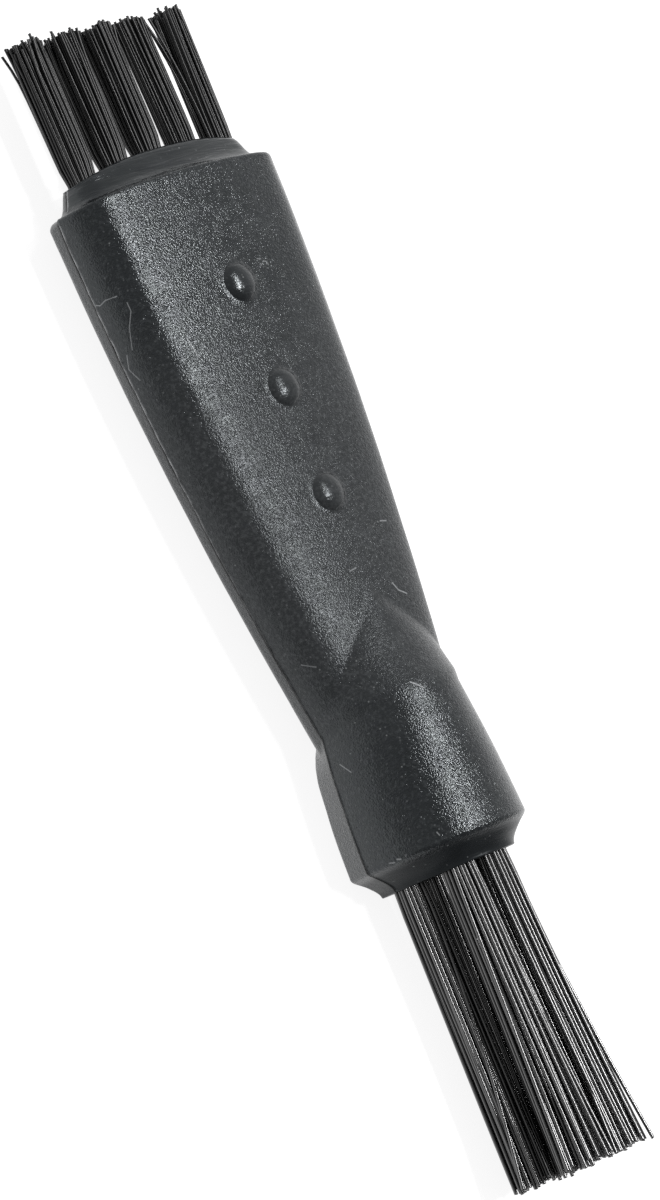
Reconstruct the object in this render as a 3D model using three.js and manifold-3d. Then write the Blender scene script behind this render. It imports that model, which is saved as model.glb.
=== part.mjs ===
// Double-ended shaver cleaning brush: one moulded handle, ten bristle tufts, and the flat metal
// anchor that pins each folded tuft in its blind hole. Millimetres, +Z up, lying on its flat back.
// Length runs along Y (+Y is the wide end with the short bristles), width along X.
import * as THREE from "three";
import { mergeVertices } from "three/addons/utils/BufferGeometryUtils.js";
import Module from "manifold-3d";

const wasm = await Module();
wasm.setup();

// ---- driving dimensions (mm) -------------------------------------------------------------
// Local frame: y = 0 at the lower shoulder, z = 0 on the mould parting plane.
const BODY_LENGTH = 37.2; // shoulder to shoulder
const WAIST_Y = 7.72; // where the two bodies meet on the outline
const BACK_Z = -2.5; // flat back, below the parting plane
const REAR_DEPTH = 2.8; // rear crown before the flat is cut

// wide flat body: half width W0 + W1 t + W2 t^2, t = 0 at the waist and 1 at the upper shoulder
const W0 = 4.297, W1 = 5.688, W2 = -2.599;
const WIDE_FRONT = 3.137, WIDE_FRONT_DROP = 0.183; // height of the front face at the waist, fall to the shoulder
const FACE_CROWN = 1.45; // the front face is the top of an ellipse this many times as wide as the body
const SIDE_HEIGHT = 3.533, SIDE_HEIGHT_RISE = 0.114; // crown of the side faces before the front face cuts them
const SIDE_N = 2.258; // their exponent
const EDGE_SOFT = 0.3, EDGE_SOFT_LOW = 0.35; // softness of the edge between a side face and the front face, and what is added at the waist
const WIDE_LEAN = 16; // degrees by which the rear sides lean in
const WIDE_REAR_MORE = 0.3, WIDE_REAR_N = 1.737, WIDE_REAR_N_RISE = 0.465, REAR_SOFT = 0.25;

// round narrow body: half width L0 + L1 s + L2 s^2, s = 0 at the waist and 1 at the lower shoulder
const L0 = 4.217, L1 = 1.35, L2 = -0.636;
const ROUND_FRONT = 4.762, ROUND_FRONT_RISE = 0.382;
const ROUND_N = 2.12;
const ROUND_LEAN = 24, ROUND_LEAN_FALL = 5.14, ROUND_LEAN_MAX = 55; // degrees by which its rear sides lean in
const LEAN_GROWS_FROM = 5.2, LEAN_GROWTH = 2.3;
const NOSE_LENGTH = 7.2; // how far the round body runs up inside the wide one
const NOSE_RIDGE = 5.68; // where its ridge meets the front face, above the waist
const NOSE_RISE_1 = 0.196, NOSE_RISE_3 = 0.0043, NOSE_SOFT = 0.22; // rise of the ridge from there
const NOSE_SIDE = 0.15, NOSE_TAPER = 0.064, NOSE_TAPER_FROM = 1.4, NOSE_TAPER_N = 2.65, NOSE_MIN = 1.2;
const BLEND = 0.13, BLEND_MORE = 0.09; // fillet where the two bodies cross, and what is added towards the tip
const QUARTER = 14; // points in a quarter of a section

// ends
const END_CROWN = 0.334, RIM_CROWN = 0.69; // rise in the middle of the wide end, at the shoulder and at the rim
const WIDE_SHOULDER_R = 0.3;
const WIDE_COLLAR = 1.28; // collar height
const SIDE_INSET_MAX = 1.4;
const LOW_COLLAR = 1.257;
const LOW_IN_SIDE = 1.36, LOW_IN_FRONT = 0.95, LOW_IN_BACK = 0.4; // how far the narrow collar is set in

// parting line groove
const SEAM_HALF = 0.09, SEAM_DEPTH = 0.07;

// raised grip dots
const DOT_Y = 30.895, DOT_PITCH = 5.881, DOT_R = 1.04, DOT_H = 0.44;

// tufts
const WIDE_TUFTS = 5, WIDE_PITCH = 2.48, WIDE_TUFT_Z = 0.25;
const WIDE_TUFT_R = 0.82, WIDE_TIP_R = 1.04, WIDE_HOLE_R = 0.88, WIDE_TIP_Y = 46.55;
const WIDE_HOLE_END = BODY_LENGTH - 2.6;
const NARROW_AT = [[-2.3, -0.25], [0, -0.25], [2.3, -0.25], [-1.2, 2.45], [1.2, 2.45]];
const NARROW_TUFT_R = 0.97, NARROW_TIP_R = 1.12, NARROW_HOLE_R = 1.03, NARROW_TIP_Y = -17.85;
const NARROW_HOLE_END = 2.9;

// anchors: flat strip across each hole
const ANCHOR_W = 2.34, ANCHOR_H = 1.05, ANCHOR_T = 0.26;
const ANCHOR_GAP = 0.04, FOLD = 0.35; // clearance round the strip, thickness of the fold below it

// frame: centre of the whole length, bottom on the flat back
const MID_Y = (WIDE_TIP_Y + NARROW_TIP_Y) / 2;

// ---- helpers ------------------------------------------------------------------------------
function solid(geometry) {
  const g = mergeVertices(
    new THREE.BufferGeometry()
      .setAttribute("position", (geometry.index ? geometry.toNonIndexed() : geometry).getAttribute("position")),
    1e-4,
  );
  const triVerts = new Uint32Array(g.index.array);
  const keep = [];
  for (let i = 0; i < triVerts.length; i += 3) {
    const [a, b, c] = [triVerts[i], triVerts[i + 1], triVerts[i + 2]];
    if (a !== b && b !== c && a !== c) keep.push(a, b, c);
  }
  const make = (tris) =>
    new wasm.Manifold(
      new wasm.Mesh({ numProp: 3, vertProperties: new Float32Array(g.attributes.position.array), triVerts: new Uint32Array(tris) }),
    );
  let made = make(keep);
  if (made.volume() < 0) {
    for (let i = 0; i < keep.length; i += 3) [keep[i + 1], keep[i + 2]] = [keep[i + 2], keep[i + 1]];
    made = make(keep);
  }
  return made;
}

function geometryOf(manifold) {
  const m = manifold.getMesh();
  const v = new Float32Array(m.numVert * 3);
  for (let i = 0; i < m.numVert; i++)
    for (let k = 0; k < 3; k++) v[3 * i + k] = m.vertProperties[m.numProp * i + k];
  const g = new THREE.BufferGeometry();
  g.setAttribute("position", new THREE.BufferAttribute(v, 3));
  g.setIndex(new THREE.BufferAttribute(new Uint32Array(m.triVerts), 1));
  return g;
}

const box = (sx, sy, sz, x, y, z) => solid(new THREE.BoxGeometry(sx, sy, sz).translate(x, y, z));

// Distance from the middle to a superellipse in a given direction.
const oval = (a, b, n, c, s) => ((c / a) ** n + (s / b) ** n) ** (-1 / n);

// The smaller or larger of two reaches, with a fillet of size k where they cross.
function softMin(p, q, k) {
  const h = Math.max(k - Math.abs(p - q), 0) / k;
  return Math.min(p, q) - (h * h * k) / 4;
}
const softMax = (p, q, k) => -softMin(-p, -q, k);

// A straight rear side that leaves the parting line at half width a and leans in by so many degrees.
function flank(a, lean, c, s) {
  const k = (lean * Math.PI) / 180;
  return (a * Math.cos(k)) / (c * Math.cos(k) + s * Math.sin(k));
}

// A reach that goes no lower than `bottom` below the parting plane.
const above = (far, bottom) => (angle) => {
  const s = Math.sin(angle);
  return s < -1e-3 ? Math.min(far(angle), bottom / -s) : far(angle);
};

// Directions round the section, closer together at its sides, where it turns most.
const ANGLES = [];
for (let i = 0; i < 4 * QUARTER; i++) {
  const k = (i / (4 * QUARTER)) * 2 * Math.PI;
  ANGLES.push(Math.atan2(0.52 * Math.sign(Math.sin(k)) * Math.abs(Math.sin(k)) ** 0.8, Math.sign(Math.cos(k)) * Math.abs(Math.cos(k)) ** 0.8));
}

// One closed section in the x-z plane from its reach, with a small groove on the parting plane at either side.
function outline(far) {
  const points = [];
  const at = (angle, less = 0) => [(far(angle) - less) * Math.cos(angle), (far(angle) - less) * Math.sin(angle)];
  ANGLES.forEach((angle, i) => {
    if (i % (2 * QUARTER) !== 0) return points.push(at(angle));
    const mid = i === 0 ? 0 : Math.PI, half = SEAM_HALF / far(mid);
    points.push(at(mid - half), at(mid, SEAM_DEPTH), at(mid + half));
  });
  return points;
}

// Skins a list of sections, each { y, crown, a, far }, and closes both ends.
function loft(rings) {
  const sections = rings.map((ring) =>
    outline(ring.far).map(([x, z]) => [x, ring.y + (ring.crown || 0) * (1 - Math.min(Math.abs(x) / ring.a, 1) ** (ring.power || 2)), z]),
  );
  const count = sections[0].length;
  const position = sections.flat(2);
  const index = [];
  for (let i = 0; i + 1 < sections.length; i++)
    for (let j = 0; j < count; j++) {
      const k = (j + 1) % count;
      const A = i * count + j, B = i * count + k, C = A + count - j + k, D = A + count;
      index.push(A, D, C, A, C, B);
    }
  const cap = (i, up) => {
    const ring = rings[i];
    const mid = (ring.far(Math.PI / 2) - ring.far(-Math.PI / 2)) / 2;
    const hub = position.length / 3;
    position.push(0, ring.y + (ring.crown || 0), mid);
    for (let j = 0; j < count; j++) {
      const k = (j + 1) % count;
      if (up) index.push(hub, i * count + k, i * count + j);
      else index.push(hub, i * count + j, i * count + k);
    }
  };
  cap(0, false);
  cap(sections.length - 1, true);
  const g = new THREE.BufferGeometry();
  g.setAttribute("position", new THREE.BufferAttribute(new Float32Array(position), 3));
  g.setIndex(index);
  return solid(g);
}

// ---- handle -------------------------------------------------------------------------------
const wideFront = (y) => WIDE_FRONT - (WIDE_FRONT_DROP * (y - WAIST_Y)) / (BODY_LENGTH - WAIST_Y);

// Reach of the wide body at y, set in by d.
function wideReach(y, angle, d = 0) {
  const t = (y - WAIST_Y) / (BODY_LENGTH - WAIST_Y);
  const c = Math.abs(Math.cos(angle)), s = Math.sin(angle);
  const a = W0 + W1 * t + W2 * t * t - Math.min(d, SIDE_INSET_MAX);
  if (s < 0)
    return softMin(flank(a, WIDE_LEAN, c, -s), oval(a + WIDE_REAR_MORE, REAR_DEPTH - d, WIDE_REAR_N + WIDE_REAR_N_RISE * t, c, -s), REAR_SOFT);
  const side = oval(a, SIDE_HEIGHT + SIDE_HEIGHT_RISE * t - d, SIDE_N, c, s);
  const face = oval(FACE_CROWN * a, wideFront(y) - d, 2, c, s);
  return softMin(side, face, EDGE_SOFT + EDGE_SOFT_LOW * (1 - Math.min(Math.max(t, 0), 1)));
}

// Reach of the round body at y, set in by da at its sides and df in front. Above the waist it is the nose
// that runs up inside the wide body and fades into its face.
function roundReach(y, angle, da = 0, df = 0) {
  const s = (WAIST_Y - y) / WAIST_Y, up = Math.max(0, y - WAIST_Y);
  const lean = Math.min(ROUND_LEAN - ROUND_LEAN_FALL * s + LEAN_GROWTH * Math.max(0, y - LEAN_GROWS_FROM) ** 2, ROUND_LEAN_MAX);
  let a = L0 + L1 * s + L2 * s * s, f = ROUND_FRONT + ROUND_FRONT_RISE * s;
  if (up > 0) {
    const left = NOSE_RIDGE - up;
    a = Math.max(L0 + NOSE_SIDE * Math.min(up / 0.6, 1) - NOSE_TAPER * Math.max(0, up - NOSE_TAPER_FROM) ** NOSE_TAPER_N, NOSE_MIN);
    f = softMin(wideFront(y) + NOSE_RISE_1 * left + NOSE_RISE_3 * Math.max(left, 0) ** 3, f, NOSE_SOFT);
  }
  const c = Math.abs(Math.cos(angle)), z = Math.sin(angle);
  return z < 0 ? flank(a - da, lean, c, -z) : oval(a - da, f - df, ROUND_N, c, z);
}

function bodyReach(y, angle) {
  const wide = wideReach(y, angle);
  if (y >= WAIST_Y + NOSE_LENGTH) return wide;
  return softMax(wide, roundReach(y, angle), BLEND + BLEND_MORE * Math.min(Math.max((y - WAIST_Y - 3.6) / 1.8, 0), 1));
}

function body() {
  const rings = [];
  // collar and the cove up to the lower shoulder, as [part of the full inset, y]
  for (const [g, y] of [
    [1.05, -LOW_COLLAR],
    [0.985, -1.16],
    [0.92, -0.95],
    [0.8, -0.75],
    [0.66, -0.57],
    [0.5, -0.38],
    [0.33, -0.2],
    [0.18, -0.06],
    [0.05, 0.1],
  ]) {
    const far = above((angle) => roundReach(0, angle, LOW_IN_SIDE * g, LOW_IN_FRONT * g), -BACK_Z - LOW_IN_BACK * g);
    rings.push({ y, a: far(0), far });
  }
  // the two bodies, with closer sections over the arch where one runs into the other
  const ys = [0.3, 1.5, 3, 4.5, 5.6];
  for (let y = 6.2; y < 14.3; y += 0.45) ys.push(y);
  for (let i = 0; i <= 12; i++) ys.push(14.6 + ((BODY_LENGTH - WIDE_SHOULDER_R - 14.6) * i) / 12);
  for (const y of ys) {
    const far = above((angle) => bodyReach(y, angle), REAR_DEPTH), w = Math.max(0, (y - (BODY_LENGTH - 9)) / 9);
    rings.push({ y, a: far(0), far, crown: END_CROWN * w * w });
  }
  // upper shoulder, ledge and collar
  const end = (d, y, w = 0) => {
    const far = above((angle) => wideReach(BODY_LENGTH, angle, d), REAR_DEPTH);
    rings.push({ y: BODY_LENGTH + y, a: far(0), far, crown: END_CROWN + (RIM_CROWN - END_CROWN) * w, power: 2 + 0.4 * w });
  };
  for (const k of [0.45, 0.8, 1.15, Math.PI / 2])
    end(WIDE_SHOULDER_R * (1 - Math.cos(k)), WIDE_SHOULDER_R * (Math.sin(k) - 1));
  for (const [d, y] of [[0.6, 0.02], [0.8, 0.13], [0.96, 0.3], [1.1, 0.55], [1.2, 0.8], [1.28, 1], [1.36, 1.17], [1.45, WIDE_COLLAR]])
    end(d, y, Math.min(Math.max((d - 0.5) / 0.9, 0), 1));
  return loft(rings);
}

function dot(y) {
  const z = wideFront(y);
  const profile = [new THREE.Vector2(0, -0.8), new THREE.Vector2(DOT_R, -0.8), new THREE.Vector2(DOT_R, 0)];
  for (const k of [0.25, 0.5, 0.72, 0.88]) {
    const radius = DOT_R * (1 - k * k) ** 0.5;
    profile.push(new THREE.Vector2(radius, DOT_H * k));
  }
  profile.push(new THREE.Vector2(0, DOT_H));
  return solid(new THREE.LatheGeometry(profile, 24).rotateX(Math.PI / 2).translate(0, y, z));
}

const hole = (r, x, z, from, to) =>
  solid(new THREE.CylinderGeometry(r, r, Math.abs(to - from), 24).translate(x, (from + to) / 2, z));

const wideAt = [];
for (let i = 0; i < WIDE_TUFTS; i++) wideAt.push([(i - (WIDE_TUFTS - 1) / 2) * WIDE_PITCH, WIDE_TUFT_Z]);

const wideAnchorY = WIDE_HOLE_END + 0.05 + FOLD + ANCHOR_H / 2;
const narrowAnchorY = NARROW_HOLE_END - 0.05 - FOLD - ANCHOR_H / 2;
const slit = (x, y, z) =>
  box(ANCHOR_T + 2 * ANCHOR_GAP, ANCHOR_H + 2 * ANCHOR_GAP, ANCHOR_W + 2 * ANCHOR_GAP, x, y, z);

let handle = body();
for (let i = 0; i < 3; i++) handle = handle.add(dot(DOT_Y - i * DOT_PITCH));
handle = handle.subtract(box(40, 120, 10, 0, 10, BACK_Z - 5));
for (const [x, z] of wideAt)
  handle = handle
    .subtract(hole(WIDE_HOLE_R, x, z, WIDE_HOLE_END, BODY_LENGTH + 6))
    .subtract(slit(x, wideAnchorY, z));
for (const [x, z] of NARROW_AT)
  handle = handle
    .subtract(hole(NARROW_HOLE_R, x, z, -6, NARROW_HOLE_END))
    .subtract(slit(x, narrowAnchorY, z));

// ---- tufts and anchors --------------------------------------------------------------------
// A tuft is the bundle of filaments as one body: straight in its hole, spreading to the cut tips,
// with a window near its root where the folded filaments pass round the anchor.
function tuft(r, tipR, root, mouth, tip, anchorY) {
  const way = Math.sign(tip - root);
  const profile = [
    [0, root],
    [r * 0.86, root],
    [r, root + way * 0.14],
    [r, mouth],
    [(r + tipR) / 2, (mouth + tip) / 2],
    [tipR, tip - way * 0.12],
    [tipR * 0.93, tip],
    [0, tip],
  ].map(([x, y]) => new THREE.Vector2(x, y));
  if (way < 0) profile.reverse();
  return solid(new THREE.LatheGeometry(profile, 18)).subtract(
    box(ANCHOR_T + 2 * ANCHOR_GAP, ANCHOR_H + 2 * ANCHOR_GAP, 4, 0, anchorY, 0),
  );
}

const wideTuft = tuft(WIDE_TUFT_R, WIDE_TIP_R, WIDE_HOLE_END + 0.05, BODY_LENGTH + WIDE_COLLAR + RIM_CROWN, WIDE_TIP_Y, wideAnchorY);
const narrowTuft = tuft(NARROW_TUFT_R, NARROW_TIP_R, NARROW_HOLE_END - 0.05, -LOW_COLLAR, NARROW_TIP_Y, narrowAnchorY);
const strip = box(ANCHOR_T, ANCHOR_H, ANCHOR_W, 0, 0, 0);

const moulded = new THREE.MeshStandardMaterial({ color: 0x222527, roughness: 0.5, metalness: 0 });
const nylon = new THREE.MeshStandardMaterial({ color: 0x111214, roughness: 0.25, metalness: 0 });
const metal = new THREE.MeshStandardMaterial({ color: 0xb39b5e, roughness: 0.35, metalness: 1 });

const brush = new THREE.Group();
brush.name = "shaver_cleaning_brush";

function place(name, manifold, material, x = 0, y = 0, z = 0) {
  const g = geometryOf(manifold).translate(x, y - MID_Y, z - BACK_Z);
  g.computeVertexNormals();
  const m = new THREE.Mesh(g, material);
  m.name = name;
  brush.add(m);
}

place("handle", handle, moulded);
wideAt.forEach(([x, z], i) => {
  place(`tuft_wide_${i + 1}`, wideTuft, nylon, x, 0, z);
  place(`anchor_wide_${i + 1}`, strip, metal, x, wideAnchorY, z);
});
NARROW_AT.forEach(([x, z], i) => {
  place(`tuft_narrow_${i + 1}`, narrowTuft, nylon, x, 0, z);
  place(`anchor_narrow_${i + 1}`, strip, metal, x, narrowAnchorY, z);
});

export default brush;
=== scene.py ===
import math

import bpy
import numpy as np
from mathutils import Matrix, Vector
from mathutils.geometry import delaunay_2d_cdt


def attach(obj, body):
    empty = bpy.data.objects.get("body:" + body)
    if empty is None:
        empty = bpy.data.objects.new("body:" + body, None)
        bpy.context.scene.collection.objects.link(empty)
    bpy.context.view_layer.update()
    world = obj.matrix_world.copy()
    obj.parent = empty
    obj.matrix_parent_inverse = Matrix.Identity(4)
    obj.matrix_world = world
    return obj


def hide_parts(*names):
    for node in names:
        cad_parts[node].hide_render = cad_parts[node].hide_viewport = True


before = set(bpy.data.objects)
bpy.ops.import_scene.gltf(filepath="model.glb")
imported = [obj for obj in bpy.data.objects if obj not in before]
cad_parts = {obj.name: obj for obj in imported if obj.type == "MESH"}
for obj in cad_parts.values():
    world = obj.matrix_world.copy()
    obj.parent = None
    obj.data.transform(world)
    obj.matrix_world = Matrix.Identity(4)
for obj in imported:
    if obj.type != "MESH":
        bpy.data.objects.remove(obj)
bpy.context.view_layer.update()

scene = bpy.context.scene

# ---- sizes, in millimetres. Local frame: y = 0 at the lower shoulder, z = 0 on the parting plane ----
MM = 0.001
MID_Y, BACK = 14.35, 2.5
BODY, WAIST = 37.2, 7.72
REAR = 2.8
NOSE = 7.2
BLEND = 0.06
CROWN, RIM_CROWN = 0.334, 0.69
FRONT_EDGE_R, REAR_EDGE_R = 0.20, 0.42
WIDE_COLLAR = 1.30
LOW_COLLAR = 1.257
LOW_IN = (1.36, 0.95, 0.40)  # how far the narrow collar is set in at the sides, in front and behind
DOT_YS = [30.895 - 5.881 * i for i in range(3)]
DOT_R, DOT_H = 1.04, 0.44

WIDE_AT = [((i - 2) * 2.48, 0.25) for i in range(5)]
WIDE_HOLE, WIDE_TUFT_R = 0.88, 0.82
WIDE_ROOT, WIDE_TIP = BODY - 2.6, 46.55
NARROW_AT = [(-2.3, -0.25), (0.0, -0.25), (2.3, -0.25), (-1.2, 2.45), (1.2, 2.45)]
NARROW_HOLE, NARROW_TUFT_R, NARROW_OPEN_R, NARROW_TIP_R = 1.03, 0.97, 1.02, 1.12
NARROW_ROOT, NARROW_TIP = 2.9, -17.85
ANCHOR_H, FOLD = 1.05, 0.35


def in_frame(points):
    """Local millimetres to the row frame in metres."""
    p = np.asarray(points, float).reshape(-1, 3).copy()
    p[:, 1] -= MID_Y
    p[:, 2] += BACK
    return p * MM


# ---- handle skin: distance from the middle of a section in each direction ----
def oval(a, b, n, c, s):
    return ((c / a) ** n + (s / b) ** n) ** (-1.0 / n)


def soft_min(p, q, k):
    h = np.maximum(k - np.abs(p - q), 0) / k
    return np.minimum(p, q) - h * h * k / 4


def soft_max(p, q, k):
    return -soft_min(-p, -q, k)


def split(th, front, rear):
    s = np.sin(th)
    return np.where(s >= 0, front(np.abs(np.cos(th)), np.maximum(s, 1e-9)), rear(np.abs(np.cos(th)), np.maximum(-s, 1e-9)))


def flank(a, lean, c, s):
    """A straight rear side that leaves the parting line at half width a and leans inwards."""
    k = math.radians(lean)
    return a * math.cos(k) / (c * math.cos(k) + s * math.sin(k))


def wide_reach(y, th, d=0.0):
    t = (y - WAIST) / (BODY - WAIST)
    a = 4.297 + 5.688 * t - 2.599 * t * t - np.minimum(d, 1.40)
    f = 3.137 - 0.183 * t - d
    side = 3.533 + 0.114 * t - d
    soft = 0.3 + 0.35 * (1 - min(max(t, 0.0), 1.0))
    return split(
        th,
        lambda c, s: soft_min(oval(a, side, 2.258, c, s), oval(1.45 * a, f, 2.0, c, s), soft),
        lambda c, s: soft_min(flank(a, 16.0, c, s), oval(a + 0.3, REAR - d, 1.737 + 0.465 * t, c, s), 0.25),
    )


def round_reach(y, th, da=0.0, df=0.0):
    s_ = (WAIST - y) / WAIST
    up = max(0.0, y - WAIST)
    f = 4.762 + 0.382 * s_
    lean = min(24.0 - 5.14 * s_ + 2.3 * max(0.0, y - 5.2) ** 2, 55.0)
    if up > 0:
        # the nose that runs up inside the wide body and fades into its face
        a = 4.217 + 0.15 * min(up / 0.6, 1.0) - 0.064 * max(0.0, up - 1.4) ** 2.65
        left = 5.68 - up
        h = 0.196 * left + 0.0043 * max(left, 0.0) ** 3
        f = float(soft_min(np.array(3.137 - 0.183 * up / (BODY - WAIST) + h), np.array(f), 0.22))
        a = max(a, 1.2)
    else:
        a = 4.217 + 1.35 * s_ - 0.636 * s_ * s_
    a, f = a - da, f - df
    return split(th, lambda c, s: oval(a, f, 2.12, c, s), lambda c, s: flank(a, lean, c, s))


def body_reach(y, th):
    r = wide_reach(y, th)
    if y < WAIST + NOSE:
        r = soft_max(r, round_reach(y, th), BLEND + 0.14 * min(max((y - WAIST - 3.6) / 1.8, 0.0), 1.0))
    return r


def flat_back(r, th, bottom=BACK):
    s = np.sin(th)
    cut = np.where(s < -1e-3, bottom / np.maximum(-s, 1e-3), 1e6)
    return soft_min(r, cut, 0.35)


def dense(lo, hi, weight, n=6000):
    """Values from lo to hi whose spacing follows 1 / weight."""
    x = np.linspace(lo, hi, n)
    w = np.array([weight(v) for v in x])
    total = np.concatenate([[0], np.cumsum((w[1:] + w[:-1]) / 2 * np.diff(x))])
    count = int(round(total[-1]))
    return np.interp(np.linspace(0, total[-1], count + 1), total, x)


def arc_rate(y, th):
    e = 1e-3
    a, b = (flat_back(body_reach(y, np.array([t])), np.array([t]))[0] for t in (th - e, th + e))
    r = (a + b) / 2
    return math.hypot(r, (b - a) / (2 * e))


def front_weight(th):
    w = max(arc_rate(33.0, th), arc_rate(2.0, th)) / 0.175
    x = 3.0 * math.cos(th)
    return w + (3.0 / 0.066) * (1.0 if abs(x) < 1.25 else max(0.0, 1 - (abs(x) - 1.25) / 0.5))


def rear_weight(th):
    return max(arc_rate(33.0, th), arc_rate(2.0, th)) / (0.42 if abs(math.sin(th)) > 0.75 else 0.27)


EDGE = 0.05
FRONT = dense(EDGE, math.pi - EDGE, front_weight)
REARS = dense(math.pi + EDGE, 2 * math.pi - EDGE, rear_weight)
NEAR = np.array([0.0, 0.02, 0.04, 0.06, 0.085, 0.12, 0.17])  # heights of the lines beside the parting line


def directions(r0):
    n = NEAR / r0
    return np.concatenate([n, FRONT, math.pi - n[::-1], math.pi + n[1:-1], REARS, 2 * math.pi - n[1:-1][::-1]])


COUNT = len(directions(4.0))

rings = []  # each: points (COUNT, 3), grain of the skin, painted highlight along the flash, painted shade in the seam


def ring(y, reach, crown, grain, seam=1.0, bottom=BACK, lift=None, power=2.0):
    r0 = float(reach(np.array([0.0]))[0])
    th = directions(r0)
    r = flat_back(reach(th), th, bottom)
    z = r * np.sin(th)
    # parting line: a fine groove, a little flash on the front edge, and a rear half a trifle smaller
    near_seam = np.abs(np.cos(th)) > 0.9
    wander = 0.012 * math.sin(1.9 * y + 0.6) + 0.008 * math.sin(5.3 * y)
    zz = z - wander
    r = r + near_seam * (
        -0.030 * seam**3 * np.exp(-(zz / 0.030) ** 2)
        + 0.050 * (1 + 0.45 * math.sin(3.7 * y + 1.0) * math.sin(0.9 * y)) * np.exp(-((zz - 0.065) / 0.034) ** 2)
        - np.where(zz < 0, 0.024 * np.exp(-(zz / 0.9) ** 2), 0.0)
    )
    # the moulding isn't perfectly true
    r = r + 0.008 * np.sin(0.55 * y + 2.0 * np.cos(th)) * np.sin(2 * th + 0.3) + 0.004 * np.sin(1.3 * y + 3 * th)
    x, z = r * np.cos(th), r * np.sin(th)
    yy = y + crown * (1 - np.minimum(np.abs(x) / r0, 1.0) ** power)
    if lift is not None:
        yy = yy + lift(th)
    skin = np.full(COUNT, float(grain))
    for dy in DOT_YS:
        rho = np.hypot(x, y - dy) / DOT_R
        skin = np.where((np.sin(th) > 0) & (rho < 1.15), np.minimum(skin, 0.25 + 0.75 * np.clip((rho - 0.85) / 0.3, 0, 1)), skin)
        dome = DOT_H * np.maximum(1 - rho * rho, 0) ** 0.62
        foot = 0.05 * np.exp(-((rho - 1.0) / 0.12) ** 2) * (rho > 1.0)
        z = z + np.where(np.sin(th) > 0, dome + foot, 0.0)
    lower = 1 - min(max((y - 12.0) / 12.0, 0.0), 1.0)
    # painted highlight: a pale line along the flash on the front edge of the parting line, faint on the lower body
    flash_highlight = near_seam * np.exp(-((zz - 0.07) / 0.045) ** 2) * (0.65 + 0.35 * math.sin(2.3 * y + 0.4) * math.sin(6.1 * y)) * (0.1 + 0.9 * (1 - lower))
    # painted shade: the seam groove and the strip just behind it darkened, more so on the lower body and the collars
    seam_shade = near_seam * np.maximum(np.exp(-((zz + 0.085) / 0.105) ** 2), lower * np.exp(-((zz - 0.02) / 0.065) ** 2)) * min(0.86 + 0.25 * (seam - 1.0) / 0.2 + 0.12 * math.sin(1.1 * y + 0.8), 1.0)
    rings.append((np.stack([x, yy, z], 1), skin, flash_highlight, seam_shade))


def smooth_line(points, per=6):
    """Catmull-Rom through the points."""
    p = np.array(points, float)
    p = np.vstack([2 * p[0] - p[1], p, 2 * p[-1] - p[-2]])
    out = []
    for i in range(1, len(p) - 2):
        for k in range(per):
            t = k / per
            out.append(
                0.5
                * (
                    2 * p[i]
                    + (p[i + 1] - p[i - 1]) * t
                    + (2 * p[i - 1] - 5 * p[i] + 4 * p[i + 1] - p[i + 2]) * t * t
                    + (3 * p[i] - p[i - 1] - 3 * p[i + 1] + p[i + 2]) * t**3
                )
            )
    out.append(p[-2])
    return out


# collar and cove at the narrow end, as (part of the full inset, y)
for g, y in smooth_line(
    [(1.05, -1.257), (1.0, -1.22), (0.975, -1.10), (0.92, -0.95), (0.80, -0.75), (0.66, -0.57), (0.50, -0.38), (0.33, -0.2), (0.18, -0.06), (0.07, 0.06), (0.015, 0.18), (0.0, 0.3)], 5
)[:-1]:
    ring(y, lambda th, g=g: round_reach(0.0, th, LOW_IN[0] * g, LOW_IN[1] * g), 0.0, float(np.clip((y + 0.25) / 0.3, 0, 1)), 1.5, BACK - LOW_IN[2] * g)


def length_weight(y):
    w = 1 / 0.22
    if 6.0 < y < 14.2:
        w = 1 / 0.08
    for dy in DOT_YS:
        if abs(y - dy) < 1.2:
            w = 1 / 0.063
    return w


top_y = BODY - REAR_EDGE_R
for y in dense(0.3, top_y, length_weight):
    w = max(0.0, (y - (BODY - 9)) / 9)
    ring(y, lambda th, y=y: body_reach(y, th), CROWN * w * w, 1.0)

# upper shoulder: crisp on the front half, rounder on the rear half
for k in np.linspace(0.0, 1.0, 10)[1:]:
    q = max(0.0, (k - 0.35) / 0.65) * math.pi / 2
    front_d, front_y = FRONT_EDGE_R * (1 - math.cos(q)), FRONT_EDGE_R * (math.sin(q) - 1)
    if k < 0.35:
        front_y = -REAR_EDGE_R + (REAR_EDGE_R - FRONT_EDGE_R) * k / 0.35
    q = k * math.pi / 2
    rear_d, rear_y = REAR_EDGE_R * (1 - math.cos(q)), REAR_EDGE_R * (math.sin(q) - 1)
    ring(
        BODY, lambda th: wide_reach(BODY, th, np.where(np.sin(th) >= -1e-6, front_d, rear_d)), CROWN, 1.0 - 0.6 * k, 1.3, BACK,
        lambda th: np.where(np.sin(th) >= -1e-6, front_y, rear_y),
    )
# ledge and collar, as (inset, height)
for d, y in smooth_line(
    [(0.50, 0.0), (0.62, 0.02), (0.80, 0.13), (0.96, 0.30), (1.10, 0.55), (1.20, 0.80), (1.28, 1.0), (1.37, 1.17), (1.50, 1.28)], 4
):
    w = min(max((d - 0.5) / 0.9, 0.0), 1.0)
    ring(BODY + y, lambda th: wide_reach(BODY, th, d), CROWN + (RIM_CROWN - CROWN) * w, 0.0, 1.2, power=2.0 + 0.4 * w)


# ---- handle mesh ----
verts = np.concatenate([r[0] for r in rings])
grain = np.concatenate([r[1] for r in rings])
flash_highlight = np.concatenate([r[2] for r in rings])
seam_shade = np.concatenate([r[3] for r in rings])
faces = []
for i in range(len(rings) - 1):
    a = i * COUNT
    for j in range(COUNT):
        k = (j + 1) % COUNT
        faces.append((a + j, a + COUNT + j, a + COUNT + k, a + k))
verts, grain, extra = list(map(tuple, verts)), list(grain), []


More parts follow.
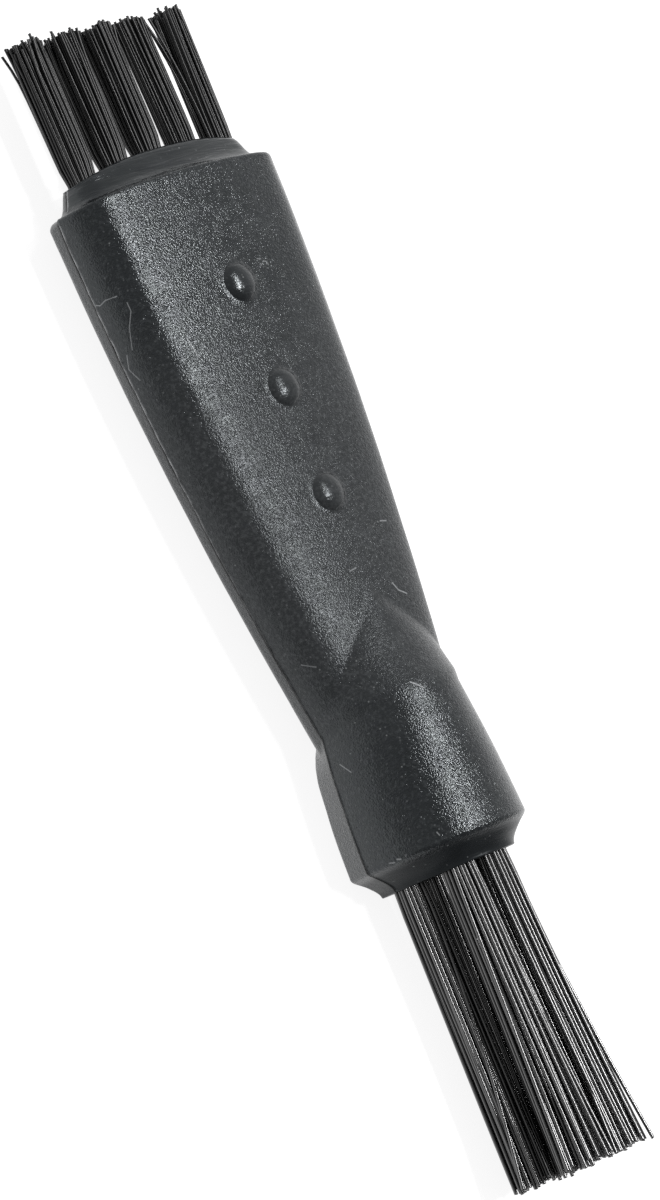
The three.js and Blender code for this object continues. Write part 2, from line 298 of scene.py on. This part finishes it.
def close_end(first, holes, hole_r, floor_y, out):
    """Closes the ring that starts at vertex `first` with a face that has blind holes in it."""
    edge = [verts[first + j] for j in range(COUNT)]
    rim = np.array([(p[0], p[2]) for p in edge])
    rim_y = np.array([p[1] for p in edge])
    a = np.abs(rim[:, 0]).max()
    base, rise = rim_y[np.argmax(np.abs(rim[:, 0]))], 0.0
    if out > 0:
        rise = RIM_CROWN

    def height(x):
        return base + rise * (1 - min(abs(x) / a, 1.0) ** 2.4)

    pts, edges, kind = [tuple(p) for p in rim], [], [("rim", j) for j in range(COUNT)]
    edges += [(j, (j + 1) % COUNT) for j in range(COUNT)]
    n = 44
    for h, (hx, hz) in enumerate(holes):
        start = len(pts)
        for k in range(n):
            t = 2 * math.pi * k / n
            pts.append((hx + hole_r * math.cos(t), hz + hole_r * math.sin(t)))
            kind.append(("hole", h, k))
        edges += [(start + k, start + (k + 1) % n) for k in range(n)]
    # points inside the face, off the holes and the rim
    for gx in np.arange(-a, a, 0.24):
        for gz in np.arange(-3.0, 5.0, 0.24):
            if min(math.hypot(gx - hx, gz - hz) for hx, hz in holes) < hole_r + 0.1:
                continue
            if not inside(gx, gz, rim) or np.min(np.hypot(rim[:, 0] - gx, rim[:, 1] - gz)) < 0.12:
                continue
            pts.append((gx, gz))
            kind.append(("in",))
    out_v, _, out_f, orig, _, _ = delaunay_2d_cdt([Vector(p) for p in pts], edges, [], 0, 1e-7)
    index, hole_of = [], {}
    for v, src in zip(out_v, orig):
        what = kind[src[0]] if src else ("in",)
        if what[0] == "rim":
            index.append(first + what[1])
            continue
        index.append(len(verts))
        verts.append((v.x, height(v.x), v.y))
        grain.append(0.0)
        if what[0] == "hole":
            hole_of[what[1:]] = index[-1]
    for f in out_f:
        cx = sum(out_v[i].x for i in f) / 3
        cz = sum(out_v[i].y for i in f) / 3
        if min(math.hypot(cx - hx, cz - hz) for hx, hz in holes) < hole_r * 0.995 or not inside(cx, cz, rim):
            continue
        tri = [index[i] for i in f]
        faces.append(tuple(tri[::-1]) if out > 0 else tuple(tri))
    # hole walls and floors
    for h, (hx, hz) in enumerate(holes):
        loop = [hole_of[(h, k)] for k in range(n)]
        for y in (None, floor_y):
            nxt = []
            for k in range(n):
                x0, y0, z0 = verts[hole_of[(h, k)]]
                verts.append((x0, (y0 - out * 0.12) if y is None else y, z0))
                grain.append(0.0)
                nxt.append(len(verts) - 1)
            for k in range(n):
                m = (k + 1) % n
                quad = (loop[k], loop[m], nxt[m], nxt[k])
                faces.append(quad if out > 0 else quad[::-1])
            loop = nxt
        hub = len(verts)
        verts.append((hx, floor_y, hz))
        grain.append(0.0)
        for k in range(n):
            m = (k + 1) % n
            tri = (loop[k], loop[m], hub)
            faces.append(tri if out > 0 else tri[::-1])


def inside(px, pz, poly):
    x0, z0 = poly[:, 0], poly[:, 1]
    x1, z1 = np.roll(x0, -1), np.roll(z0, -1)
    hit = (z0 > pz) != (z1 > pz)
    with np.errstate(divide="ignore", invalid="ignore"):
        cross = px < (x1 - x0) * (pz - z0) / (z1 - z0) + x0
    return bool(np.sum(hit & cross) % 2)


close_end((len(rings) - 1) * COUNT, WIDE_AT, WIDE_HOLE, WIDE_ROOT, 1)
close_end(0, NARROW_AT, NARROW_HOLE, NARROW_ROOT, -1)


def make_mesh(name, points, polygons, material, attributes=None):
    me = bpy.data.meshes.new(name)
    me.from_pydata([tuple(p) for p in in_frame(points)], [], polygons)
    me.validate()
    me.polygons.foreach_set("use_smooth", [True] * len(me.polygons))
    for key, values in (attributes or {}).items():
        at = me.attributes.new(key, "FLOAT", "POINT")
        at.data.foreach_set("value", np.asarray(values, np.float32))
    me.materials.append(material)
    me.update()
    ob = bpy.data.objects.new(name, me)
    scene.collection.objects.link(ob)
    return ob


# ---- materials ----
class Tree:
    def __init__(self, name):
        self.material = bpy.data.materials.new(name)
        self.material.use_nodes = True
        self.t = self.material.node_tree
        self.t.nodes.clear()
        self.out = self.add("ShaderNodeOutputMaterial")
        self.bsdf = self.add("ShaderNodeBsdfPrincipled")
        self.t.links.new(self.bsdf.outputs["BSDF"], self.out.inputs["Surface"])

    def add(self, kind, **props):
        n = self.t.nodes.new(kind)
        for k, v in props.items():
            setattr(n, k, v)
        return n

    def put(self, socket, value):
        if isinstance(value, bpy.types.NodeSocket):
            self.t.links.new(value, socket)
        else:
            socket.default_value = value

    def mm(self, scale=(1, 1, 1)):
        c = self.add("ShaderNodeTexCoord")
        m = self.add("ShaderNodeMapping")
        self.put(m.inputs["Vector"], c.outputs["Object"])
        m.inputs["Scale"].default_value = [1000 * s for s in scale]
        return m.outputs["Vector"]

    def noise(self, vec, scale, detail=2.0, rough=0.5, distortion=0.0):
        n = self.add("ShaderNodeTexNoise")
        self.put(n.inputs["Vector"], vec)
        n.inputs["Scale"].default_value = scale
        n.inputs["Detail"].default_value = detail
        n.inputs["Roughness"].default_value = rough
        n.inputs["Distortion"].default_value = distortion
        return n.outputs["Fac"]

    def cells(self, vec, scale, smooth=None):
        n = self.add("ShaderNodeTexVoronoi", feature="SMOOTH_F1" if smooth else "F1")
        self.put(n.inputs["Vector"], vec)
        n.inputs["Scale"].default_value = scale
        if smooth:
            n.inputs["Smoothness"].default_value = smooth
        return n

    def math(self, op, a, b=0.0, c=0.0, clamp=False):
        n = self.add("ShaderNodeMath", operation=op, use_clamp=clamp)
        for s, v in zip(n.inputs, (a, b, c)):
            self.put(s, v)
        return n.outputs[0]

    def ramp(self, value, lo, hi, to_lo=0.0, to_hi=1.0, smooth=True):
        n = self.add("ShaderNodeMapRange", interpolation_type="SMOOTHSTEP" if smooth else "LINEAR")
        for s, v in zip(("Value", "From Min", "From Max", "To Min", "To Max"), (value, lo, hi, to_lo, to_hi)):
            self.put(n.inputs[s], v)
        return n.outputs["Result"]

    def mix(self, fac, a, b):
        n = self.add("ShaderNodeMix", data_type="RGBA")
        self.put(n.inputs[0], fac)
        self.put(n.inputs[6], a)
        self.put(n.inputs[7], b)
        return n.outputs[2]

    def bump(self, height, distance, strength=1.0, normal=None):
        n = self.add("ShaderNodeBump")
        self.put(n.inputs["Height"], height)
        n.inputs["Distance"].default_value = distance
        self.put(n.inputs["Strength"], strength)
        if normal is not None:
            self.put(n.inputs["Normal"], normal)
        return n.outputs["Normal"]

    def near(self, vec, a, b, width):
        """1 on the line from a to b, falling to 0 at width."""
        a, b = Vector(a), Vector(b)
        along = b - a

        def vm(op, *values):
            n = self.add("ShaderNodeVectorMath", operation=op)
            for socket, v in zip(n.inputs, values):
                self.put(socket, v)
            return n

        rel = vm("SUBTRACT", vec, tuple(a)).outputs[0]
        part = self.math("ADD", vm("DOT_PRODUCT", rel, tuple(along / along.length_squared)).outputs["Value"], 0.0, clamp=True)
        foot = self.add("ShaderNodeVectorMath", operation="SCALE")
        foot.inputs[0].default_value = tuple(along)
        self.put(foot.inputs["Scale"], part)
        gap = vm("LENGTH", vm("SUBTRACT", rel, foot.outputs[0]).outputs[0]).outputs["Value"]
        return self.ramp(gap, width, width * 0.35)

    def attribute(self, name):
        return self.add("ShaderNodeAttribute", attribute_name=name).outputs["Fac"]


# scuffs and lint on the skin, as lines in millimetres of the row frame, with a width and a strength
MARKS = [
    ([(-7.23, 17.99, 2.64), (-7.21, 17.87, 2.91), (-7.12, 17.99, 3.33), (-6.83, 17.93, 3.93)], 0.042, 0.55),
    ([(-6.59, 17.42, 4.21), (-6.57, 16.94, 4.21), (-6.79, 16.19, 3.85), (-6.89, 15.11, 3.52)], 0.038, 0.42),
    ([(-7.01, 14.99, 3.12), (-7.01, 14.3, 2.83), (-6.9, 13.55, 3.18)], 0.042, 0.5),
    ([(1.84, 17.5, 5.44), (2.08, 17.44, 5.43)], 0.045, 0.4),
    ([(2.2, 17.3, 5.42), (2.38, 17.24, 5.41), (2.46, 17.06, 5.4)], 0.045, 0.45),
    ([(1.95, 17.12, 5.44), (2.1, 17.2, 5.43)], 0.05, 0.35),
    ([(-4.46, -8.47, 3.26), (-4.45, -9.07, 3.81)], 0.045, 0.5),
    ([(1.74, -0.76, 5.51), (1.97, -1.21, 5.48), (2.49, -1.51, 5.4)], 0.055, 0.6),
    ([(-1.21, -5.95, 7.02), (-0.64, -6.52, 7.21)], 0.055, 0.8),
    ([(-4.73, -3.04, 3.77), (-4.36, -3.43, 4.33)], 0.05, 0.3),
    ([(2.76, 2.51, 5.4), (3.22, 2.42, 5.32)], 0.055, 0.5),
    ([(-0.75, 0.53, 5.58), (-0.28, 0.59, 5.59)], 0.06, 0.4),
    ([(-4.59, 14.6, 5.18), (-4.39, 13.52, 5.21)], 0.06, 0.5),
    ([(-4.70, -14.12, 4.12), (-4.62, -14.2, 4.4)], 0.06, 0.45),
    ([(-4.55, -14.1, 4.62), (-4.48, -14.16, 4.78)], 0.07, 0.5),
    ([(-4.33, -14.12, 5.08), (-4.3, -14.05, 5.12)], 0.06, 0.35),
    ([(-3.1, -13.62, 6.58), (-3.05, -13.8, 6.62)], 0.055, 0.45),
]


def plastic():
    t = Tree("moulded_plastic")
    mm = t.mm()
    at = t.add("ShaderNodeSeparateXYZ")
    t.put(at.inputs[0], mm)
    skin = t.attribute("grain")
    coarse = t.noise(mm, 5.0, 2.0, 0.55)
    fine = t.noise(mm, 12.0, 1.5, 0.55)
    pits = t.cells(mm, 9.0, 0.3).outputs["Distance"]
    height = t.math("ADD", t.math("MULTIPLY", coarse, 0.6), t.math("ADD", t.math("MULTIPLY", pits, 0.45), t.math("MULTIPLY", fine, 0.75)))
    strength = t.math("MULTIPLY", t.ramp(skin, 0.0, 1.0, 0.06, 1.0, False), t.ramp(t.noise(mm, 1.1, 2.0, 0.6), 0.3, 0.7, 0.68, 1.0))
    # smooth collars keep the flow marks of the mould, which run round the rim
    flow = t.noise(t.mm((0.28, 2.2, 0.7)), 1.0, 3.0, 0.55, 0.4)
    wavy = t.bump(t.noise(mm, 0.55, 2.0, 0.4), 1.6e-5, 0.6)
    wavy = t.bump(flow, 0.9e-4, t.math("MULTIPLY", t.ramp(skin, 0.0, 0.6, 1.0, 0.0), t.ramp(at.outputs["Y"], -14.6, -13.8, 0.45, 1.0)), wavy)
    # scattered sharper pocks, which glint far from the main highlight
    pock = t.cells(mm, 5.2)
    some = t.add("ShaderNodeSeparateColor")
    t.put(some.inputs[0], pock.outputs["Color"])
    dimple = t.math("MULTIPLY", t.ramp(pock.outputs["Distance"], 0.30, 0.05), t.ramp(some.outputs[1], 0.45, 0.7))
    skinned = t.bump(height, 4.0e-5, strength, wavy)
    t.put(t.bsdf.inputs["Normal"], t.bump(dimple, 1.7e-5, strength, skinned))
    # colour: slightly uneven charcoal, a few dust specks and pale scuffs; below, a painted highlight on the flash,
    # painted shade in the seam and a painted sheen along the middle
    patch = t.noise(mm, 0.7, 4.0, 0.6)
    colour = t.mix(t.ramp(patch, 0.3, 0.7), (0.0084, 0.0097, 0.0108, 1), (0.0122, 0.0138, 0.0152, 1))
    colour = t.mix(t.math("MULTIPLY", t.math("MULTIPLY", t.ramp(coarse, 0.48, 0.72), skin), 0.75), colour, (0.030, 0.033, 0.035, 1))
    speck = t.cells(mm, 1.9)
    pick = t.add("ShaderNodeSeparateColor")
    t.put(pick.inputs[0], speck.outputs["Color"])
    dust = t.math("MULTIPLY", t.ramp(speck.outputs["Distance"], 0.12, 0.05), t.ramp(pick.outputs[0], 0.70, 0.76))
    colour = t.mix(t.math("MULTIPLY", dust, 0.6), colour, (0.20, 0.21, 0.21, 1))
    crumb = t.cells(mm, 3.6)
    few = t.add("ShaderNodeSeparateColor")
    t.put(few.inputs[0], crumb.outputs["Color"])
    powder = t.math("MULTIPLY", t.ramp(crumb.outputs["Distance"], 0.26, 0.08), t.ramp(few.outputs[0], 0.55, 0.95))
    colour = t.mix(t.math("MULTIPLY", powder, 0.32), colour, (0.16, 0.165, 0.17, 1))
    for line, width, amount in MARKS:
        mask = None
        for a, b in zip(line, line[1:]):
            m = t.near(mm, a, b, width)
            mask = m if mask is None else t.math("MAXIMUM", mask, m)
        colour = t.mix(t.math("MULTIPLY", mask, amount), colour, (0.36, 0.37, 0.38, 1))
    # painted highlight: a pale line along the parting line's flash
    colour = t.mix(t.attribute("flash_highlight"), colour, (0.55, 0.56, 0.57, 1))
    # painted shade: near black in the seam groove, which also loses its reflection there
    seam_shade = t.attribute("seam_shade")
    colour = t.mix(seam_shade, colour, (0.002, 0.002, 0.002, 1))
    # the middle of the wide body is duller, with weaker and rougher reflection, and its colour there is lifted a
    # little as a painted sheen in place of the reflection it loses
    dull_middle = t.math("MULTIPLY", t.ramp(at.outputs["Y"], -10.0, -3.0), t.ramp(at.outputs["Y"], 18.0, 8.0))
    cove = t.ramp(at.outputs["Y"], -14.2, -14.7)
    level = t.math("SUBTRACT", 0.48, t.math("ADD", t.math("MULTIPLY", dull_middle, 0.22), t.math("MULTIPLY", cove, 0.32)))
    t.put(t.bsdf.inputs["Specular IOR Level"], t.math("MULTIPLY", level, t.math("SUBTRACT", 1.0, seam_shade)))
    # painted sheen: the colour lift along the dull middle
    painted_sheen = t.math("MULTIPLY", dull_middle, t.ramp(coarse, 0.35, 0.65, 0.55, 1.0))
    t.put(t.bsdf.inputs["Base Color"], t.mix(t.math("MULTIPLY", painted_sheen, 0.11), colour, (0.21, 0.215, 0.22, 1)))
    rough = t.math("ADD", t.ramp(skin, 0.0, 1.0, 0.17, 0.14, False), t.math("MULTIPLY", t.ramp(patch, 0.3, 0.7), 0.06))
    rough = t.math("ADD", rough, t.math("ADD", t.math("MULTIPLY", dull_middle, 0.05), t.math("MULTIPLY", cove, 0.14)))
    t.put(t.bsdf.inputs["Roughness"], rough)
    tint = t.noise(mm, 1.3, 2.0, 0.6)
    t.put(t.bsdf.inputs["Specular Tint"], t.mix(t.ramp(tint, 0.35, 0.65), (0.91, 0.96, 1.0, 1), (0.92, 0.985, 1.0, 1)))
    t.bsdf.inputs["IOR"].default_value = 1.5
    return t.material


def nylon(name, base_rough, shine):
    t = Tree(name)
    long_mm = t.mm((1.0, 0.06, 1.0))
    mm = t.mm()
    tone = t.attribute("tone")
    along = t.noise(long_mm, 6.0, 3.0, 0.6)
    colour = t.mix(tone, (0.0015, 0.0017, 0.0019, 1), (0.0050, 0.0054, 0.0058, 1))
    colour = t.mix(t.math("MULTIPLY", t.ramp(along, 0.5, 0.8), 0.4), colour, (0.010, 0.011, 0.012, 1))
    t.put(t.bsdf.inputs["Base Color"], colour)
    rough = t.math("ADD", t.math("MULTIPLY", tone, 0.08), t.math("ADD", t.math("MULTIPLY", along, 0.06), base_rough))
    t.put(t.bsdf.inputs["Roughness"], rough)
    t.put(t.bsdf.inputs["Normal"], t.bump(t.noise(t.mm((1.0, 0.01, 1.0)), 14.0, 1.0, 0.5), 1.0e-6, 0.5))
    t.bsdf.inputs["IOR"].default_value = 1.65
    t.bsdf.inputs["Specular IOR Level"].default_value = shine
    return t.material


def brass():
    t = Tree("anchor_brass")
    mm = t.mm()
    drawn = t.noise(t.mm((1.0, 1.0, 0.05)), 24.0, 3.0, 0.6)
    patch = t.noise(mm, 2.2, 4.0, 0.6)
    colour = t.mix(t.ramp(patch, 0.35, 0.7), (0.62, 0.45, 0.17, 1), (0.42, 0.29, 0.10, 1))
    t.put(t.bsdf.inputs["Base Color"], colour)
    t.put(t.bsdf.inputs["Roughness"], t.math("ADD", t.math("MULTIPLY", drawn, 0.25), 0.2))
    t.put(t.bsdf.inputs["Normal"], t.bump(drawn, 4e-6, 0.7))
    t.bsdf.inputs["Metallic"].default_value = 1.0
    return t.material


PLASTIC, BRASS = plastic(), brass()
LONG_NYLON, SHORT_NYLON = nylon("bristle_nylon_long", 0.14, 1.0), nylon("bristle_nylon_short", 0.26, 0.35)

flash_highlight, seam_shade = (np.concatenate([v, np.zeros(len(verts) - len(v))]) for v in (flash_highlight, seam_shade))
handle = make_mesh("handle_moulding", verts, faces, PLASTIC, {"grain": grain, "flash_highlight": flash_highlight, "seam_shade": seam_shade})
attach(handle, "root")
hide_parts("handle")


# ---- bristles: each filament is folded round the anchor, so it shows as two legs ----
def packed(n, radius, d, rng):
    """n places in a disc, kept about d apart."""
    k = np.arange(n) + 0.5
    r, t = radius * np.sqrt(k / n), math.pi * (1 + 5**0.5) * k
    p = np.stack([r * np.cos(t), r * np.sin(t)], 1) + rng.normal(0, 0.03 * radius, (n, 2))
    for _ in range(120):
        diff = p[:, None] - p[None]
        dist = np.hypot(diff[..., 0], diff[..., 1]) + np.eye(n) * 9
        push = np.maximum(d - dist, 0) / 2
        p = p + (diff / dist[..., None] * push[..., None]).sum(1) * 0.6
        far = np.hypot(p[:, 0], p[:, 1])
        p *= np.where(far > radius, radius / np.maximum(far, 1e-9), 1.0)[:, None]
    return p


def tube(path, radius, sides, cut, taper):
    """A closed tube along the path, with a slanted cut at both tips."""
    path = np.asarray(path, float)
    first, last = path[1] - path[0], path[-2] - path[-1]
    step = 0.6 * radius
    path = np.vstack([path[:1], path[:1] + first * step / np.linalg.norm(first), path[1:-1], path[-1:] + last * step / np.linalg.norm(last), path[-1:]])
    tan = np.gradient(path, axis=0)
    tan /= np.linalg.norm(tan, axis=1)[:, None]
    side = np.cross(tan, np.array([0.0, 0.0, 1.0]))
    side /= np.linalg.norm(side, axis=1)[:, None]
    up = np.cross(side, tan)
    ang = 2 * math.pi * np.arange(sides) / sides
    pts, polys = [], []
    n = len(path)
    for i in range(n):
        c = path[i] + radius * (np.cos(ang)[:, None] * side[i] + np.sin(ang)[:, None] * up[i])
        if i in (0, n - 1):
            slope = cut[0 if i == 0 else 1]
            c = c + tan[i] * (0.5 * radius * slope[0] * np.cos(ang + slope[1]))[:, None]
        pts.append(c)
    pts = np.concatenate(pts)
    for i in range(n - 1):
        for j in range(sides):
            k = (j + 1) % sides
            polys.append((i * sides + j, i * sides + k, (i + 1) * sides + k, (i + 1) * sides + j))
    polys.append(tuple(range(sides))[::-1])
    polys.append(tuple((n - 1) * sides + j for j in range(sides)))
    return pts, polys


def tuft(name, node, at, count, d, hole_r, open_r, tip_r, root, mouth, tip, seed, bend, lean=(0.0, 0.0), ragged=0.15, curl=0.0, special=None, sides=7, steps=10, stray=0.1, wild=3.0, reach=3.0):
    rng = np.random.default_rng(seed)
    way = 1.0 if tip > root else -1.0
    fit = hole_r - d / 2 - 0.01
    spots = packed(count, fit, d, rng)
    spots = spots[np.argsort(spots[:, 0])]
    half = count // 2
    left, right = spots[:half], spots[half:]
    left, right = left[np.argsort(left[:, 1])], right[np.argsort(right[:, 1])]
    anchor_low = root + way * (0.05 + FOLD)
    anchor_high = anchor_low + way * ANCHOR_H

    def leg(spot, i):
        """From beside the anchor to the tip."""
        mx, mz = spot
        low_x = math.copysign(0.17 + d / 2 + 0.62 * abs(mx) * 0.9, mx)
        pts = [(low_x, anchor_low, mz), (low_x, (anchor_low + anchor_high) / 2, mz), (low_x * 0.97 + mx * 0.03, anchor_high, mz)]
        pts.append(((mx + low_x) / 2, anchor_high + way * 0.45, mz))
        pts.append((mx, mouth - way * 0.25, mz))
        bloom = np.array([mx, mz]) * ((open_r - d / 2) / fit - 1.0)
        loose = rng.random() < stray
        out = np.array([mx, mz]) * ((tip_r - open_r) / fit) + np.array(lean) + rng.normal(0, bend * (wild if loose else 1.0), 2)
        out = np.clip(out, -reach, reach)
        wig = rng.normal(0, bend * (0.5 if loose else 0.2), 2)
        ph = rng.uniform(0, 2 * math.pi)
        end_y = tip + way * (rng.normal(0, ragged) - abs(rng.normal(0, ragged * 0.5)))
        hook = np.clip(rng.normal(0, curl, 2), -0.16, 0.16) if rng.random() < 0.3 else np.zeros(2)
        power = rng.uniform(1.15, 1.7)
        if special:
            out, end_y, power = special(i, mx, mz, out, end_y, power, rng)
        for k in range(steps + 1):
            s = k / steps
            far = s * abs(end_y - mouth)
            off = bloom * (1 - math.exp(-far / 0.45)) + out * s**power + wig * math.sin(math.pi * s) * math.cos(ph)
            if curl and s > 0.7:
                off = off + hook * ((s - 0.7) / 0.3) ** 2
            pts.append((mx + off[0], mouth + (end_y - mouth) * s, mz + off[1]))
        return pts

    points, polys, tone = [], [], []
    base = 0
    for i in range(half):
        a, b = leg(left[i], i), leg(right[i], half + i)
        xa, xb = a[0][0], b[0][0]
        za, zb = a[0][2], b[0][2]
        deep = 0.06 + 0.22 * (abs(xa) + abs(xb)) / (2 * hole_r)
        fold = []
        for k in range(1, 6):
            t = math.pi * k / 6
            w = (1 - math.cos(t)) / 2
            fold.append((xa + (xb - xa) * w, anchor_low - way * deep * math.sin(t), za + (zb - za) * w))
        path = np.array(a[::-1] + fold + b)
        path[:, 0] += at[0]
        path[:, 2] += at[1]
        cut = [(rng.uniform(-0.9, 0.9), rng.uniform(0, 6.28)) for _ in range(2)]
        p, q = tube(path, d / 2 * rng.uniform(0.94, 1.05), sides, cut, 0)
        points.append(p)
        polys += [tuple(base + j for j in f) for f in q]
        tone.append(np.full(len(p), rng.random()))
        base += len(p)
    ob = make_mesh(name, np.concatenate(points), polys, LONG_NYLON if way < 0 else SHORT_NYLON, {"tone": np.concatenate(tone)})
    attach(ob, "root")
    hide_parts(node)
    return ob


def wide_special(which):
    def change(i, mx, mz, out, end_y, power, rng):
        if which == 4 and mx < -0.62 and mz > 0.0:
            # a few outer filaments lean back across the gap
            out = np.array([-0.95 + rng.normal(0, 0.08), out[1] + 0.1])
            power = 2.0
        return out, end_y, power

    return change


def narrow_special(which):
    def change(i, mx, mz, out, end_y, power, rng):
        if which == 2 and mx > 0.62:
            # outer filaments that have sprung out to the side
            out = np.array([1.5 + 1.7 * rng.random(), out[1]])
            end_y = end_y + 0.25 * rng.random()
            power = 1.5
        return out, end_y, power

    return change


WIDE_LEAN = [(-0.16, 0.0), (-0.08, 0.0), (-0.08, 0.0), (-0.22, 0.0), (0.14, 0.0)]
WIDE_OPENS = [0.95, 0.95, 0.95, 0.86, 0.84]
WIDE_TIPS = [1.0, 1.0, 0.98, 0.86, 0.82]
WIDE_STRAY = [0.1, 0.1, 0.1, 0.03, 0.03]
for i, (x, z) in enumerate(WIDE_AT):
    mouth = BODY + 1.28 + RIM_CROWN * (1 - abs(x / 5.98) ** 2.4)
    tuft(
        f"bristles_wide_{i + 1}", f"tuft_wide_{i + 1}", (x, z), 92, 0.15, WIDE_TUFT_R, WIDE_OPENS[i], WIDE_TIPS[i], WIDE_ROOT, mouth, WIDE_TIP - 0.14 - 0.04 * i,
        100 + i, 0.05, WIDE_LEAN[i], 0.13, 0.16, wide_special(i), 8, 9, WIDE_STRAY[i], 3.0, 0.34,
    )
NARROW_LEAN = [(-0.1, -0.05), (-0.15, -0.25), (1.0, -0.05), (0.05, 0.0), (0.75, 0.0)]
NARROW_TIPS = [1.08, 1.05, NARROW_TIP_R, 1.5, 1.3]
for i, (x, z) in enumerate(NARROW_AT):
    tuft(
        f"bristles_narrow_{i + 1}", f"tuft_narrow_{i + 1}", (x, z), 58, 0.20, NARROW_TUFT_R, NARROW_OPEN_R, NARROW_TIPS[i], NARROW_ROOT, -LOW_COLLAR, NARROW_TIP,
        200 + i, 0.10, NARROW_LEAN[i], 0.12, 0.03, narrow_special(i), 10, 12, 0.16, 5.0,
    )

for n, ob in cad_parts.items():
    if n.startswith("anchor"):
        ob.data.materials.clear()
        ob.data.materials.append(BRASS)

# ---- stage ----
bpy.ops.mesh.primitive_plane_add(size=5.0, location=(0, 0, -0.00002))
floor = bpy.context.active_object
floor.name = "floor"
ft = Tree("white_table")
ft.bsdf.inputs["Base Color"].default_value = (0.30, 0.30, 0.30, 1)
ft.bsdf.inputs["Roughness"].default_value = 0.9
ft.bsdf.inputs["Specular IOR Level"].default_value = 0.1
ft.bsdf.inputs["Emission Color"].default_value = (1, 1, 1, 1)
ft.bsdf.inputs["Emission Strength"].default_value = 0.88
ft.material.cycles.emission_sampling = "NONE"
floor.data.materials.append(ft.material)

world = bpy.data.worlds.new("studio")
scene.world = world
world.use_nodes = True
wt = world.node_tree
wt.nodes.clear()
coord = wt.nodes.new("ShaderNodeTexCoord")
sep = wt.nodes.new("ShaderNodeSeparateXYZ")
wt.links.new(coord.outputs["Generated"], sep.inputs[0])


def sky(op, *values):
    n = wt.nodes.new("ShaderNodeMath")
    n.operation = op
    for socket, v in zip(n.inputs, values):
        if isinstance(v, bpy.types.NodeSocket):
            wt.links.new(v, socket)
        else:
            socket.default_value = v
    return n.outputs[0]


# brighter to the right, towards the far end and along the horizon
right = sky("POWER", sky("MAXIMUM", sep.outputs["X"], 0.0), 2.0)
low = sky("POWER", sky("SUBTRACT", 1.0, sky("ABSOLUTE", sep.outputs["Z"])), 2.0)
ahead = sky("MINIMUM", sky("MAXIMUM", sky("MULTIPLY_ADD", sep.outputs["Y"], 1.2, 1.0), 0.0), 1.2)
level = sky("MULTIPLY_ADD", sky("MULTIPLY", right, ahead), 0.45, 0.33)
level = sky("MULTIPLY_ADD", sep.outputs["Y"], 0.22, level)
level = sky("MULTIPLY_ADD", sky("MULTIPLY", low, ahead), 0.22, level)
bg = wt.nodes.new("ShaderNodeBackground")
wt.links.new(level, bg.inputs["Strength"])
bg.inputs["Color"].default_value = (1, 1, 1, 1)
world.cycles.sampling_method = "NONE"
wo = wt.nodes.new("ShaderNodeOutputWorld")
wt.links.new(bg.outputs[0], wo.inputs["Surface"])


def area(name, direction, distance, size, radiance):
    data = bpy.data.lights.new(name, "AREA")
    data.shape = "RECTANGLE"
    data.size, data.size_y = size
    data.energy = radiance * math.pi * size[0] * size[1]
    ob = bpy.data.objects.new(name, data)
    scene.collection.objects.link(ob)
    v = Vector(direction).normalized()
    ob.location = v * distance
    across = Vector((0, 1, 0)).cross(v).normalized()
    ob.rotation_euler = Matrix((across, v.cross(across), v)).transposed().to_euler()
    return ob


# a window in three panes: the lower one is mirrored by the long bristles, the next by the wide end, the top one by the nose
area("key_softbox_low", (0.245, -0.082, 0.965), 0.60, (0.13, 0.066), 72.0)
area("key_softbox_high", (0.235, 0.165, 0.955), 0.60, (0.10, 0.045), 63.0)
area("key_softbox_top", (0.22, 0.42, 0.88), 0.60, (0.12, 0.06), 20.0)

# ---- camera ----
PHI, PSI, ROLL, TILT, DIST = 0.7417649, -0.0629112, 0.0125667, math.radians(23.4), 318.33386
d = Vector((-math.sin(PHI) * math.cos(PSI), math.sin(PSI), math.cos(PHI) * math.cos(PSI)))
right = Vector((0, 1, 0)).cross(d).normalized()
up = d.cross(right)
r2 = math.cos(ROLL) * right + math.sin(ROLL) * up
u2 = -math.sin(ROLL) * right + math.cos(ROLL) * up
cam_x = math.cos(TILT) * r2 - math.sin(TILT) * u2
cam_y = math.sin(TILT) * r2 + math.cos(TILT) * u2
target = Vector(in_frame([(0.008087, 14.081034, 0.0)])[0])
cam_data = bpy.data.cameras.new("camera")
cam_data.sensor_fit = "VERTICAL"
cam_data.sensor_height = 24.0
cam_data.lens = 6141.4586 / 1200 * 24.0
cam_data.clip_start, cam_data.clip_end = 0.01, 20.0
camera = bpy.data.objects.new("camera", cam_data)
scene.collection.objects.link(camera)
m = Matrix((cam_x, cam_y, d)).transposed().to_4x4()
m.translation = target + d * (DIST * MM)
camera.matrix_world = m
scene.camera = camera

scene.view_settings.view_transform = "Standard"
scene.view_settings.look = "None"
scene.cycles.use_denoising = False
